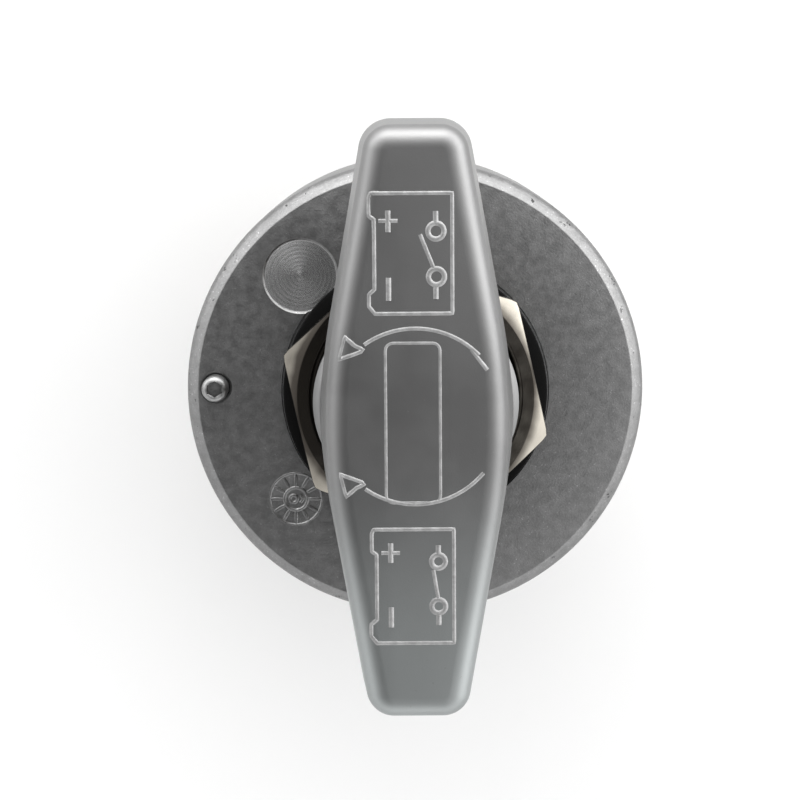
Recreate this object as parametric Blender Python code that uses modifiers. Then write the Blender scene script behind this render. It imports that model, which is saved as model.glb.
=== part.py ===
# Battery isolator switch for a vehicle panel: a cast lever turns a shaft, a cross pin on the
# shaft runs in two helical slots and pushes an insulated contact carrier down onto two studs.
#
# Frame: +Z runs out of the panel along the turning axis, +Y along the lever at rest (off).
# The origin is on the axis, in the housing's front face. Sizes below are in millimetres.

import math

import bmesh
import bpy
from mathutils import Matrix, Vector

MM = 0.001

# housing
HOUSING_RADIUS = 35.0
FACE_RADIUS = 33.1
HOUSING_BOTTOM = -31.0
CAVITY_RADIUS = 30.4
CAVITY_TOP = -3.6
NECK_RADIUS = 14.85
NECK_TOP = 11.0
NECK_BORE = 8.0
GASKET_SEAT_RADIUS = 20.3
GASKET_SEAT_DEPTH = 0.2
SPOT_FACE_AT = (-17.3, 17.6)
SPOT_FACE_RADIUS = 5.6
SPOT_FACE_DEPTH = 0.6
STAMP_AT = (-18.4, -16.65)
STAMP_RADIUS = 4.15
STAMP_DEPTH = 0.25
PEG_AT = (-30.4, 0.7)
BOSS_CIRCLE = 26.5
BOSS_RADIUS = 4.2

# front fixings
GASKET_RADIUS = 20.0
GASKET_TOP = 2.4
NUT_ACROSS_FLATS = 36.0
NUT_BOTTOM = 2.7
NUT_TOP = 7.6
NUT_CHAMFER_RADIUS = 17.4
NUT_TURN_DEG = 12.6
PEG_RADIUS = 2.0
PEG_TOP = 3.0

# lever handle
HANDLE_TOP = 40.0
HANDLE_BOTTOM = 26.0
HANDLE_HALF_LENGTH = 41.1
HANDLE_HALF_WIDTH = 12.9
HANDLE_TAPER = 0.1765
HANDLE_WAIST_RADIUS = 82.0
HANDLE_CORNER = 4.2
HANDLE_ROUNDING = 3.2
HANDLE_DRAFT = 0.35
HUB_RADIUS = 15.1
HUB_BOTTOM = 11.6

# shaft and cam
SHAFT_TOP = 34.0
SHAFT_NECK_RADIUS = 7.7
SHAFT_HEAD_RADIUS = 7.0
SHAFT_TAIL_RADIUS = 5.0
SHAFT_BOTTOM = -17.0
COLLAR_RADIUS = 11.0
ROLL_PIN_HEIGHT = 19.0
CAM_PIN_HEIGHT = -14.5
CAM_PIN_RADIUS = 1.5
CAM_PIN_REST_DEG = 45.0
SWITCH_TURN_DEG = 90.0
CONTACT_TRAVEL = 3.0
SLOT_HEIGHT = 3.5
SLOT_END_DEG = 19.0

# contact carrier and bridge
CARRIER_RADIUS = 9.0
CARRIER_BORE = 5.3
CARRIER_TOP = -7.2
CARRIER_FLOOR = -19.0
STEM_RADIUS = 3.2
STEM_BOTTOM = -25.6
BRIDGE_TOP = -21.7
BRIDGE_BOTTOM = -23.7

# base and terminals
BASE_TOP = -31.8
BASE_FLANGE_TOP = -32.6
BASE_BOTTOM = -40.0
BASE_RADIUS = 34.6
TERMINAL_OFFSET = 15.0
STUD_RADIUS = 4.85
STUD_END = -64.0
TERMINAL_NUT_FLATS = 16.0
BARRIER_BOTTOM = -54.0

PARTS = "battery_isolator_switch"
HELPERS = "cutters"


def clear_file():
    for thing in list(bpy.data.objects):
        bpy.data.objects.remove(thing, do_unlink=True)


def collection(name):
    group = bpy.data.collections.new(name)
    bpy.context.scene.collection.children.link(group)
    return group


def material(name, colour, metallic, roughness):
    made = bpy.data.materials.new(name)
    made.use_nodes = True
    shader = made.node_tree.nodes["Principled BSDF"]
    shader.inputs["Base Color"].default_value = (*colour, 1.0)
    shader.inputs["Metallic"].default_value = metallic
    shader.inputs["Roughness"].default_value = roughness
    return made


def add_object(name, mesh, kind):
    made = bpy.data.objects.new(name, mesh)
    if kind is None:
        helpers.objects.link(made)
        made.hide_render = True
        made.display_type = 'WIRE'
    else:
        parts.objects.link(made)
        mesh.materials.append(kind)
    return made


def mesh_from(name, builder):
    mesh = bpy.data.meshes.new(name)
    builder.to_mesh(mesh)
    builder.free()
    return mesh


def turned(name, profile, kind, closed=False, steps=48, at=(0.0, 0.0)):
    """Spin a profile of (radius, height) pairs about Z; outer side listed from top to bottom."""
    mesh = bpy.data.meshes.new(name)
    points = [(radius * MM, 0.0, height * MM) for radius, height in profile]
    edges = [(index, index + 1) for index in range(len(points) - 1)]
    if closed:
        edges.append((len(points) - 1, 0))
    mesh.from_pydata(points, edges, [])
    made = add_object(name, mesh, kind)
    made.location = (at[0] * MM, at[1] * MM, 0.0)
    screw = made.modifiers.new("spin", 'SCREW')
    screw.axis = 'Z'
    screw.angle = math.radians(360.0)
    screw.steps = steps
    screw.render_steps = steps
    screw.use_merge_vertices = True
    screw.merge_threshold = 0.00001
    screw.use_smooth_shade = False
    return made


def cylinder(name, radius, top, bottom, kind=None, steps=32, at=(0.0, 0.0)):
    profile = [(0.0, top), (radius, top), (radius, bottom), (0.0, bottom)]
    return turned(name, profile, kind, steps=steps, at=at)


def ring(name, inner, outer, top, bottom, kind, steps=36, at=(0.0, 0.0), edge=0.2):
    """A flat ring, with its outer edges broken where edge is given."""
    profile = [(inner, top), (outer - edge, top)]
    if edge:
        profile += [(outer, top - edge), (outer, bottom + edge)]
    profile += [(outer - edge, bottom), (inner, bottom)]
    return turned(name, profile, kind, closed=True, steps=steps, at=at)


def box(name, low, high, kind=None):
    """A block between two opposite corners."""
    size = [(top - bottom) * MM for bottom, top in zip(low, high)]
    centre = [(top + bottom) / 2.0 * MM for bottom, top in zip(low, high)]
    place = Matrix.Translation(centre) @ Matrix.Diagonal((*size, 1.0))
    builder = bmesh.new()
    bmesh.ops.create_cube(builder, size=1.0, matrix=place)
    return add_object(name, mesh_from(name, builder), kind)


def rounded_bar(name, low, high, corner, kind=None):
    """A block whose four upright edges are rounded."""
    bar = box(name, low, high, kind)
    builder = bmesh.new()
    builder.from_mesh(bar.data)
    upright = [edge for edge in builder.edges if is_upright(edge)]
    bmesh.ops.bevel(builder, geom=upright, offset=corner * MM, segments=6, affect='EDGES', profile=0.5)
    builder.to_mesh(bar.data)
    builder.free()
    return bar


def is_upright(edge):
    first, second = (corner.co for corner in edge.verts)
    return abs(first.z - second.z) > 0.00001


def hexagon(name, across_flats, top, bottom, turn_deg=0.0, kind=None):
    """A hexagonal prism about the Z axis with one flat facing turn_deg."""
    reach = across_flats / math.sqrt(3.0) * MM
    turn = Matrix.Rotation(math.radians(turn_deg + 30.0), 4, 'Z')
    place = Matrix.Translation((0.0, 0.0, (top + bottom) / 2.0 * MM)) @ turn
    builder = bmesh.new()
    bmesh.ops.create_cone(
        builder,
        cap_ends=True,
        segments=6,
        radius1=reach,
        radius2=reach,
        depth=(top - bottom) * MM,
        matrix=place @ first_corner_along_x(),
    )
    return add_object(name, mesh_from(name, builder), kind)


def first_corner_along_x():
    """The cone primitive starts its rim on +Y; this turns that corner to +X."""
    return Matrix.Rotation(math.radians(-90.0), 4, 'Z')


def bridge_loops(builder, lower, upper):
    count = len(lower)
    for index in range(count):
        following = (index + 1) % count
        builder.faces.new((lower[index], lower[following], upper[following], upper[index]))


def boolean(target, other, operation='DIFFERENCE'):
    change = target.modifiers.new(other.name, 'BOOLEAN')
    change.operation = operation
    change.solver = 'EXACT'
    change.object = other


def circle_points(radius, steps=8):
    angles = [math.radians(360.0 * step / steps) for step in range(steps)]
    return [(radius * math.cos(angle), radius * math.sin(angle)) for angle in angles]


def boss_positions():
    reach = BOSS_CIRCLE / math.sqrt(2.0)
    return [(reach, reach), (-reach, reach), (-reach, -reach), (reach, -reach)]


def make_housing():
    profile = [
        (NECK_BORE, NECK_TOP),
        (NECK_RADIUS - 0.8, NECK_TOP),
        (NECK_RADIUS, NECK_TOP - 0.8),
        (NECK_RADIUS, -GASKET_SEAT_DEPTH),
        (GASKET_SEAT_RADIUS, -GASKET_SEAT_DEPTH),
        (GASKET_SEAT_RADIUS, 0.0),
        (FACE_RADIUS, 0.0),
        (FACE_RADIUS + 0.8, -0.25),
        (FACE_RADIUS + 1.4, -0.9),
        (HOUSING_RADIUS - 0.3, -2.0),
        (HOUSING_RADIUS, -3.2),
        (HOUSING_RADIUS, HOUSING_BOTTOM + 0.6),
        (HOUSING_RADIUS - 0.6, HOUSING_BOTTOM),
        (CAVITY_RADIUS, HOUSING_BOTTOM),
        (CAVITY_RADIUS, CAVITY_TOP),
        (NECK_BORE, CAVITY_TOP),
    ]
    housing = turned("housing", profile, cast_metal, closed=True, steps=48)
    add_screw_bosses(housing)
    add_carrier_guides(housing)
    spot = [(0.0, 1.0), (SPOT_FACE_RADIUS, 1.0), (SPOT_FACE_RADIUS, 0.0)]
    spot += [(SPOT_FACE_RADIUS - 0.3, -0.45 * SPOT_FACE_DEPTH), (0.0, -SPOT_FACE_DEPTH)]
    boolean(housing, turned("spot_face_cutter", spot, None, steps=24, at=SPOT_FACE_AT))
    stamp = cylinder("stamp_cutter", STAMP_RADIUS, 1.0, -STAMP_DEPTH, steps=20, at=STAMP_AT)
    boolean(housing, stamp)
    peg_hole = cylinder("peg_hole_cutter", PEG_RADIUS + 0.3, 1.0, -3.0, steps=20, at=PEG_AT)
    boolean(housing, peg_hole)
    return housing


def add_screw_bosses(housing):
    for index, place in enumerate(boss_positions(), start=1):
        boss = cylinder(f"boss_{index}", BOSS_RADIUS, -2.0, HOUSING_BOTTOM, steps=20, at=place)
        boolean(housing, boss, 'UNION')
    for index, place in enumerate(boss_positions(), start=1):
        hole = cylinder(f"boss_hole_{index}", 1.9, -22.0, -45.0, steps=12, at=place)
        boolean(housing, hole)


def add_carrier_guides(housing):
    """Two blocks on the side wall, each with a channel for one lug of the contact carrier."""
    for side, name in ((1.0, "guide_up"), (-1.0, "guide_down")):
        near, far = sorted((side * 9.7, side * 32.0))
        block = box(name, (-6.0, near, -24.0), (6.0, far, -7.6))
        boolean(housing, block, 'UNION')
        near, far = sorted((side * 9.0, side * 12.7))
        boolean(housing, box(name + "_channel", (-2.9, near, -25.0), (2.9, far, -7.0)))


def make_front_fixings():
    gasket_bottom = 0.3 - GASKET_SEAT_DEPTH
    ring("panel_gasket", 15.3, GASKET_RADIUS, GASKET_TOP, gasket_bottom, rubber, edge=0.35)
    make_panel_nut()
    make_locating_peg()


def make_panel_nut():
    nut = hexagon("panel_nut", NUT_ACROSS_FLATS, NUT_TOP, NUT_BOTTOM, NUT_TURN_DEG, plated_metal)
    trim = [
        (0.0, NUT_TOP + 0.0005),
        (NUT_CHAMFER_RADIUS, NUT_TOP + 0.0005),
        (21.4, NUT_TOP - 2.3),
        (21.4, NUT_BOTTOM + 0.6),
        (20.2, NUT_BOTTOM - 0.0005),
        (0.0, NUT_BOTTOM - 0.0005),
    ]
    boolean(nut, turned("nut_trim", trim, None, steps=36), 'INTERSECT')
    bore = [
        (0.0, NUT_TOP + 1.0),
        (17.0, NUT_TOP + 1.0),
        (15.15, NUT_TOP - 0.85),
        (15.15, NUT_BOTTOM - 1.0),
        (0.0, NUT_BOTTOM - 1.0),
    ]
    boolean(nut, turned("nut_bore", bore, None, steps=36))


def make_locating_peg():
    profile = [
        (0.0, PEG_TOP),
        (PEG_RADIUS - 0.35, PEG_TOP),
        (PEG_RADIUS, PEG_TOP - 0.35),
        (PEG_RADIUS, -2.3),
        (PEG_RADIUS - 0.4, -2.7),
        (0.0, -2.7),
    ]
    peg = turned("locating_peg", profile, plated_metal, steps=24, at=PEG_AT)
    socket = hexagon("peg_socket", 2.0, PEG_TOP + 1.0, PEG_TOP - 1.6)
    socket.location = (PEG_AT[0] * MM, PEG_AT[1] * MM, 0.0)
    boolean(peg, socket)


def waist_blend_half_length():
    return HANDLE_WAIST_RADIUS * math.sin(math.atan(HANDLE_TAPER))


def handle_side(along):
    """Half width of the lever at a distance along it, before its ends are rounded."""
    reach = waist_blend_half_length()
    radius = HANDLE_WAIST_RADIUS
    if abs(along) <= reach:
        return HANDLE_HALF_WIDTH - radius + math.sqrt(radius * radius - along * along)
    edge = HANDLE_HALF_WIDTH - radius + math.sqrt(radius * radius - reach * reach)
    return edge - HANDLE_TAPER * (abs(along) - reach)


def handle_quarter(grow):
    """Points and outward directions of one quarter of the lever, from the middle to the tip."""
    lean = math.atan(HANDLE_TAPER)
    quarter = []
    for share in (0.0, 0.25, 0.5, 0.75, 1.0):
        along = share * waist_blend_half_length()
        turn = math.asin(along / HANDLE_WAIST_RADIUS)
        quarter.append((handle_side(along), along, turn))
    straight_end = HANDLE_HALF_LENGTH - HANDLE_CORNER
    centre_y = straight_end
    centre_x = handle_side(centre_y) - HANDLE_CORNER / math.cos(lean)
    for step in range(7):
        turn = lean + (math.radians(90.0) - lean) * step / 6.0
        x = centre_x + HANDLE_CORNER * math.cos(turn)
        y = centre_y + HANDLE_CORNER * math.sin(turn)
        quarter.append((x, y, turn))
    return [(x + grow * math.cos(t), y + grow * math.sin(t)) for x, y, t in quarter]


def handle_outline(grow):
    """Whole lever outline, anticlockwise seen from above, moved outwards by grow."""
    quarter = handle_quarter(grow)
    outline = list(quarter)
    outline += [(-x, y) for x, y in reversed(quarter)]
    outline += [(-x, -y) for x, y in quarter[1:]]
    outline += [(x, -y) for x, y in reversed(quarter[1:])]
    return outline


def make_handle_blank():
    """The lever arms as a stack of outlines: drafted sides and a rounded top edge."""
    levels = [(HANDLE_BOTTOM, HANDLE_DRAFT - 0.8), (HANDLE_BOTTOM + 0.8, HANDLE_DRAFT)]
    for step in range(5):
        angle = math.radians(90.0 * step / 4.0)
        height = HANDLE_TOP - HANDLE_ROUNDING * (1.0 - math.sin(angle))
        grow = -HANDLE_DRAFT - HANDLE_ROUNDING * (1.0 - math.cos(angle))
        levels.append((height, grow))
    builder = bmesh.new()
    loops = []
    for height, grow in levels:
        outline = handle_outline(grow)
        loops.append([builder.verts.new((x * MM, y * MM, height * MM)) for x, y in outline])
    builder.faces.new(list(reversed(loops[0])))
    builder.faces.new(loops[-1])
    for lower, upper in zip(loops, loops[1:]):
        bridge_loops(builder, lower, upper)
    return add_object("lever_handle", mesh_from("lever_handle", builder), cast_metal)


def make_handle():
    handle = make_handle_blank()
    hub = [
        (0.0, HANDLE_BOTTOM + 4.0),
        (12.4, HANDLE_BOTTOM + 4.0),
        (13.0, HANDLE_BOTTOM + 1.0),
        (HUB_RADIUS, HUB_BOTTOM + 2.2),
        (HUB_RADIUS, HUB_BOTTOM + 0.4),
        (HUB_RADIUS - 0.4, HUB_BOTTOM),
        (0.0, HUB_BOTTOM),
    ]
    boolean(handle, turned("hub", hub, None, steps=40), 'UNION')
    socket = cylinder("handle_socket", SHAFT_HEAD_RADIUS + 0.3, SHAFT_TOP + 0.3, HUB_BOTTOM - 1.0)
    boolean(handle, socket)
    relief = [(0.0, 13.0), (SHAFT_NECK_RADIUS + 0.4, 13.0)]
    relief += [(SHAFT_NECK_RADIUS + 0.4, HUB_BOTTOM - 1.0), (0.0, HUB_BOTTOM - 1.0)]
    boolean(handle, turned("handle_relief", relief, None, steps=32))
    boolean(handle, roll_pin_cutter())


def roll_pin_cutter():
    cutter = cylinder("roll_pin_hole", 2.3, 40.0, -40.0, steps=20)
    cutter.location = (0.0, 0.0, ROLL_PIN_HEIGHT * MM)
    cutter.rotation_euler = (math.radians(90.0), 0.0, 0.0)
    return cutter


def make_roll_pin():
    pin = ring("handle_roll_pin", 1.2, 2.0, 13.6, -13.6, spring_steel, steps=20, edge=0.3)
    pin.location = (0.0, 0.0, ROLL_PIN_HEIGHT * MM)
    pin.rotation_euler = (math.radians(90.0), 0.0, 0.0)


def make_shaft():
    profile = [
        (0.0, SHAFT_TOP),
        (SHAFT_HEAD_RADIUS - 0.5, SHAFT_TOP),
        (SHAFT_HEAD_RADIUS, SHAFT_TOP - 0.5),
        (SHAFT_HEAD_RADIUS, 12.5),
        (SHAFT_NECK_RADIUS, 12.5),
        (SHAFT_NECK_RADIUS, 5.2),
        (6.2, 5.2),
        (6.2, 3.4),
        (SHAFT_NECK_RADIUS, 3.4),
        (SHAFT_NECK_RADIUS, -5.2),
        (COLLAR_RADIUS, -5.2),
        (COLLAR_RADIUS, -6.6),
        (SHAFT_TAIL_RADIUS, -6.6),
        (SHAFT_TAIL_RADIUS, SHAFT_BOTTOM + 0.5),
        (SHAFT_TAIL_RADIUS - 0.5, SHAFT_BOTTOM),
        (0.0, SHAFT_BOTTOM),
    ]
    shaft = turned("shaft", profile, spring_steel, steps=24)
    boolean(shaft, roll_pin_cutter())
    hole = cylinder("cam_pin_hole", CAM_PIN_RADIUS + 0.3, 12.0, -12.0, steps=16)
    place_cam_pin(hole)
    boolean(shaft, hole)


def place_cam_pin(pin):
    """Lay a piece built along Z across the shaft, at the cam pin's angle when switched off."""
    lie_down = Matrix.Rotation(math.radians(90.0), 4, 'Y')
    turn = Matrix.Rotation(math.radians(CAM_PIN_REST_DEG), 4, 'Z')
    lift = Matrix.Translation(Vector((0.0, 0.0, CAM_PIN_HEIGHT * MM)))
    pin.matrix_world = lift @ turn @ lie_down


def make_shaft_fittings():
    make_roll_pin()
    seal = [(7.05 + across, 4.3 - up) for across, up in circle_points(0.7)]
    turned("shaft_o_ring", seal, rubber, closed=True, steps=24)
    ring("thrust_washer", 8.0, 11.5, -3.9, -4.9, brass, steps=28, edge=0.0)
    length = CARRIER_RADIUS - 0.3
    profile = [(0.0, length), (CAM_PIN_RADIUS - 0.3, length), (CAM_PIN_RADIUS, length - 0.3)]
    profile += [(radius, -height) for radius, height in reversed(profile)]
    place_cam_pin(turned("cam_pin", profile, spring_steel, steps=20))


def helical_cutter(name, start_deg):
    """A rectangle swept down a helix: it rises by the contact travel as the angle falls 90 deg."""
    sweep_deg = SWITCH_TURN_DEG + 2.0 * SLOT_END_DEG
    rise = CONTACT_TRAVEL * sweep_deg / SWITCH_TURN_DEG
    first_drop = CONTACT_TRAVEL * SLOT_END_DEG / SWITCH_TURN_DEG
    corners = [(4.4, SLOT_HEIGHT / 2.0), (10.4, SLOT_HEIGHT / 2.0)]
    corners += [(10.4, -SLOT_HEIGHT / 2.0), (4.4, -SLOT_HEIGHT / 2.0)]
    builder = bmesh.new()
    sections = []
    steps = 16
    for step in range(steps + 1):
        share = step / steps
        angle = math.radians(start_deg + SLOT_END_DEG - sweep_deg * share)
        base = CAM_PIN_HEIGHT - first_drop + rise * share
        section = []
        for radius, height in corners:
            x = radius * math.cos(angle) * MM
            y = radius * math.sin(angle) * MM
            section.append(builder.verts.new((x, y, (base + height) * MM)))
        sections.append(section)
    builder.faces.new(list(reversed(sections[0])))
    builder.faces.new(sections[-1])
    for first, second in zip(sections, sections[1:]):
        bridge_loops(builder, first, second)
    bmesh.ops.recalc_face_normals(builder, faces=builder.faces)
    return add_object(name, mesh_from(name, builder), None)


def make_carrier():
    profile = [
        (0.0, -17.3),
        (CARRIER_BORE, -17.3),
        (CARRIER_BORE, CARRIER_TOP),
        (CARRIER_RADIUS - 0.3, CARRIER_TOP),
        (CARRIER_RADIUS, CARRIER_TOP - 0.3),
        (CARRIER_RADIUS, CARRIER_FLOOR),
        (STEM_RADIUS, CARRIER_FLOOR),
        (STEM_RADIUS, -23.85),
        (2.6, -23.85),
        (2.6, -24.95),
        (STEM_RADIUS, -24.95),
        (STEM_RADIUS, STEM_BOTTOM),
        (0.0, STEM_BOTTOM),
    ]
    carrier = turned("contact_carrier", profile, phenolic, steps=28)
    boolean(carrier, box("lug_up", (-2.5, 7.8, -18.4), (2.5, 12.3, -8.6)), 'UNION')
    boolean(carrier, box("lug_down", (-2.5, -12.3, -18.4), (2.5, -7.8, -8.6)), 'UNION')
    bore = cylinder("carrier_bore", CARRIER_BORE, -6.0, -17.3, steps=28)
    boolean(carrier, bore)
    boolean(carrier, helical_cutter("slot_right", CAM_PIN_REST_DEG))
    boolean(carrier, helical_cutter("slot_left", CAM_PIN_REST_DEG + 180.0))


def make_bridge():
    low = (-21.0, -6.5, BRIDGE_BOTTOM)
    bridge = rounded_bar("contact_bridge", low, (21.0, 6.5, BRIDGE_TOP), 3.0, copper)
    boolean(bridge, cylinder("bridge_hole", 3.6, -20.0, -25.0, steps=24))
    for side, name in ((-1.0, "bridge_contact_left"), (1.0, "bridge_contact_right")):
        place = (side * TERMINAL_OFFSET, 0.0)
        ring_free_disc(name, 4.5, BRIDGE_BOTTOM - 0.3, BRIDGE_BOTTOM - 1.2, place)
    dish = [(3.5, -19.35), (4.4, -19.35), (7.2, -20.75), (7.2, -21.35), (6.3, -21.35)]
    dish += [(3.5, -19.95)]
    turned("contact_spring_washer", dish, spring_steel, closed=True, steps=32)
    clip = ring("bridge_clip", 2.75, 5.5, -24.0, -24.8, spring_steel, steps=32, edge=0.1)
    boolean(clip, box("clip_mouth", (-2.2, -7.0, -26.0), (2.2, 0.0, -23.0)))


def ring_free_disc(name, radius, top, bottom, place):
    profile = [(0.0, top), (radius, top), (radius, bottom + 0.3), (radius - 0.3, bottom)]
    profile += [(0.0, bottom)]
    turned(name, profile, silver, steps=20, at=place)


def make_base():
    profile = [
        (0.0, BASE_TOP),
        (30.0, BASE_TOP),
        (30.0, BASE_FLANGE_TOP),
        (BASE_RADIUS - 0.4, BASE_FLANGE_TOP),
        (BASE_RADIUS, BASE_FLANGE_TOP - 0.4),
        (BASE_RADIUS, BASE_BOTTOM + 1.0),
        (BASE_RADIUS - 1.0, BASE_BOTTOM),
        (0.0, BASE_BOTTOM),
    ]
    base = turned("base_plate", profile, phenolic, steps=48)
    low = (-2.0, -26.0, BARRIER_BOTTOM)
    barrier = rounded_bar("barrier", low, (2.0, 26.0, BASE_BOTTOM + 2.0), 1.0)
    boolean(base, barrier, 'UNION')
    for side, name in ((-1.0, "left"), (1.0, "right")):
        place = (side * TERMINAL_OFFSET, 0.0)
        collar = cylinder(f"collar_{name}", 11.0, -39.0, BASE_BOTTOM - 1.2, steps=28, at=place)
        boolean(base, collar, 'UNION')
        hole = cylinder(f"stud_hole_{name}", STUD_RADIUS + 0.35, -20.0, -50.0, at=place)
        boolean(base, hole)
    for index, place in enumerate(boss_positions(), start=1):
        hole = cylinder(f"base_hole_{index}", 2.0, -20.0, -50.0, steps=12, at=place)
        boolean(base, hole)
    ring("base_seal", 30.6, 34.0, HOUSING_BOTTOM - 0.3, BASE_FLANGE_TOP + 0.3, rubber, edge=0.0)
    make_base_screws()


def make_base_screws():
    profile = [
        (0.0, -24.3),
        (1.2, -24.3),
        (1.65, -24.8),
        (1.65, -40.3),
        (3.7, -40.3),
        (3.7, -41.4),
        (3.0, -42.5),
        (0.0, -42.5),
    ]
    for index, place in enumerate(boss_positions(), start=1):
        screw = turned(f"base_screw_{index}", profile, plated_metal, steps=16, at=place)
        for name, half_x, half_y in (("across", 2.2, 0.45), ("along", 0.45, 2.2)):
            low = (place[0] - half_x, place[1] - half_y, -44.0)
            high = (place[0] + half_x, place[1] + half_y, -41.3)
            boolean(screw, box(f"recess_{name}_{index}", low, high))


def make_terminal(side, name):
    place = (side * TERMINAL_OFFSET, 0.0)
    head = [
        (0.0, -29.3),
        (7.5, -29.3),
        (7.5, -31.5),
        (STUD_RADIUS, -31.5),
        (STUD_RADIUS, STUD_END + 0.8),
        (STUD_RADIUS - 0.8, STUD_END),
        (0.0, STUD_END),
    ]
    turned(f"terminal_stud_{name}", head, copper, steps=32, at=place)
    ring_free_disc(f"fixed_contact_{name}", 5.5, -28.2, -29.0, place)
    ring(f"base_washer_{name}", 5.2, 9.9, -41.5, -43.0, plated_metal, steps=24, at=place)
    make_terminal_nut(f"stud_nut_{name}", -43.3, -48.3, place, 0.0)
    ring(f"plain_washer_{name}", 5.2, 9.9, -48.6, -50.3, plated_metal, steps=24, at=place)
    spring = ring(f"spring_washer_{name}", 5.3, 8.6, -50.6, -52.8, spring_steel, steps=24, at=place)
    mouth = box(f"spring_mouth_{name}", (-0.6, 0.0, -2.0), (0.6, 12.0, 2.0))
    mouth.location = (place[0] * MM, 0.0, -51.7 * MM)
    mouth.rotation_euler = (0.0, math.radians(25.0), 0.0)
    boolean(spring, mouth)
    make_terminal_nut(f"terminal_nut_{name}", -53.1, -61.1, place, 10.0)


def make_terminal_nut(name, top, bottom, place, turn_deg):
    nut = hexagon(name, TERMINAL_NUT_FLATS, top, bottom, turn_deg, plated_metal)
    nut.location = (place[0] * MM, place[1] * MM, 0.0)
    trim = [
        (0.0, top + 0.0005),
        (7.7, top + 0.0005),
        (9.6, top - 1.1),
        (9.6, bottom + 1.1),
        (7.7, bottom - 0.0005),
        (0.0, bottom - 0.0005),
    ]
    boolean(nut, turned(name + "_trim", trim, None, steps=20, at=place), 'INTERSECT')
    bore = cylinder(name + "_bore", STUD_RADIUS + 0.3, top + 1.0, bottom - 1.0, at=place)
    boolean(nut, bore)


def finish_pieces():
    """Apply each piece's modifiers, then shade its curved faces smooth up to its sharp edges."""
    graph = bpy.context.evaluated_depsgraph_get()
    made = [(piece, bpy.data.meshes.new_from_object(piece.evaluated_get(graph))) for piece in parts.objects]
    for piece, mesh in made:
        piece.modifiers.clear()
        piece.data = mesh
        mesh.name = piece.name
        mesh.shade_smooth()
        mesh.set_sharp_from_angle(angle=math.radians(30.0))


clear_file()
parts = collection(PARTS)
helpers = collection(HELPERS)

cast_metal = material("cast_metal", (0.42, 0.43, 0.44), 0.9, 0.45)
plated_metal = material("plated_metal", (0.62, 0.60, 0.57), 1.0, 0.25)
spring_steel = material("spring_steel", (0.35, 0.35, 0.36), 1.0, 0.35)
copper = material("copper", (0.72, 0.42, 0.26), 1.0, 0.3)
silver = material("silver", (0.85, 0.85, 0.83), 1.0, 0.25)
brass = material("brass", (0.75, 0.58, 0.28), 1.0, 0.35)
rubber = material("rubber", (0.02, 0.02, 0.02), 0.0, 0.7)
phenolic = material("phenolic", (0.03, 0.028, 0.026), 0.0, 0.45)

make_housing()
make_front_fixings()
make_handle()
make_shaft()
make_shaft_fittings()
make_carrier()
make_bridge()
make_base()
make_terminal(-1.0, "left")
make_terminal(1.0, "right")
finish_pieces()
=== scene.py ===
import math

import bmesh
import bpy
import numpy as np
from mathutils import Matrix, Vector


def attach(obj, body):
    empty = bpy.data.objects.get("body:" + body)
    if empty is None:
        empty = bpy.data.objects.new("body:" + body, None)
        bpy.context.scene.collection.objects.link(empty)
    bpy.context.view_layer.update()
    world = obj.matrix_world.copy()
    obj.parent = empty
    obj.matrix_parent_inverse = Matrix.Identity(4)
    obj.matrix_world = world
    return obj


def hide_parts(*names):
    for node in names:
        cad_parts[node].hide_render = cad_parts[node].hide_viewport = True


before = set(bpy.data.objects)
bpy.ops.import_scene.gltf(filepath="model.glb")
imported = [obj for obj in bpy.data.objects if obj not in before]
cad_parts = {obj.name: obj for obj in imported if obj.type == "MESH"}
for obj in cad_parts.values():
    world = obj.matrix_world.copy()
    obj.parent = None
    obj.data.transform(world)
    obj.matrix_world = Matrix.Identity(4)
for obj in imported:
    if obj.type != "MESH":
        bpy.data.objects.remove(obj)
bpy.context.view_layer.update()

mm = 0.001  # every size and place below is in millimetres, from the neck's middle on the housing's face


def say(stage):
    print("scene:", stage)


class Wire:
    # one output socket, usable in Python arithmetic
    def __init__(self, graph, socket):
        self.graph = graph
        self.socket = socket

    def other(self, name):
        return Wire(self.graph, self.socket.node.outputs[name])

    def maths(self, operation, *values):
        inputs = dict(enumerate((self,) + values))
        return self.graph.node("ShaderNodeMath", {"operation": operation}, inputs)

    def __add__(self, value):
        return self.maths("ADD", value)

    def __mul__(self, value):
        return self.maths("MULTIPLY", value)

    def __sub__(self, value):
        return self.maths("SUBTRACT", value)

    def __rsub__(self, value):
        return (self * -1.0) + value

    def __truediv__(self, value):
        return self.maths("DIVIDE", value)

    def __pow__(self, value):
        return self.maths("POWER", value)

    def least(self, value):
        return self.maths("MINIMUM", value)

    def most(self, value):
        return self.maths("MAXIMUM", value)

    def sine(self):
        return self.maths("SINE")

    def cosine(self):
        return self.maths("COSINE")

    def spread(self, low, high, toLow=0.0, toHigh=1.0):
        # smooth step from one range to another
        inputs = {"From Min": low, "From Max": high, "To Min": toLow, "To Max": toHigh, "Value": self}
        return self.graph.node("ShaderNodeMapRange", {"interpolation_type": "SMOOTHSTEP"}, inputs)


class Graph:
    # a shader or geometry tree being wired
    def __init__(self, tree):
        self.tree = tree

    def node(self, kind, settings=None, inputs=None, output=0):
        made = self.tree.nodes.new(kind)
        for name, value in (settings or {}).items():
            if name == "stops":
                setStops(made.color_ramp, value)
            else:
                setattr(made, name, value)
        for name, value in (inputs or {}).items():
            socket = made.inputs[name]
            if isinstance(value, Wire):
                self.tree.links.new(value.socket, socket)
            else:
                socket.default_value = value
        return Wire(self, made.outputs[output]) if len(made.outputs) else made

    def point(self, x=0.0, y=0.0, z=0.0):
        return self.node("ShaderNodeCombineXYZ", {}, {"X": x, "Y": y, "Z": z})


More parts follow.
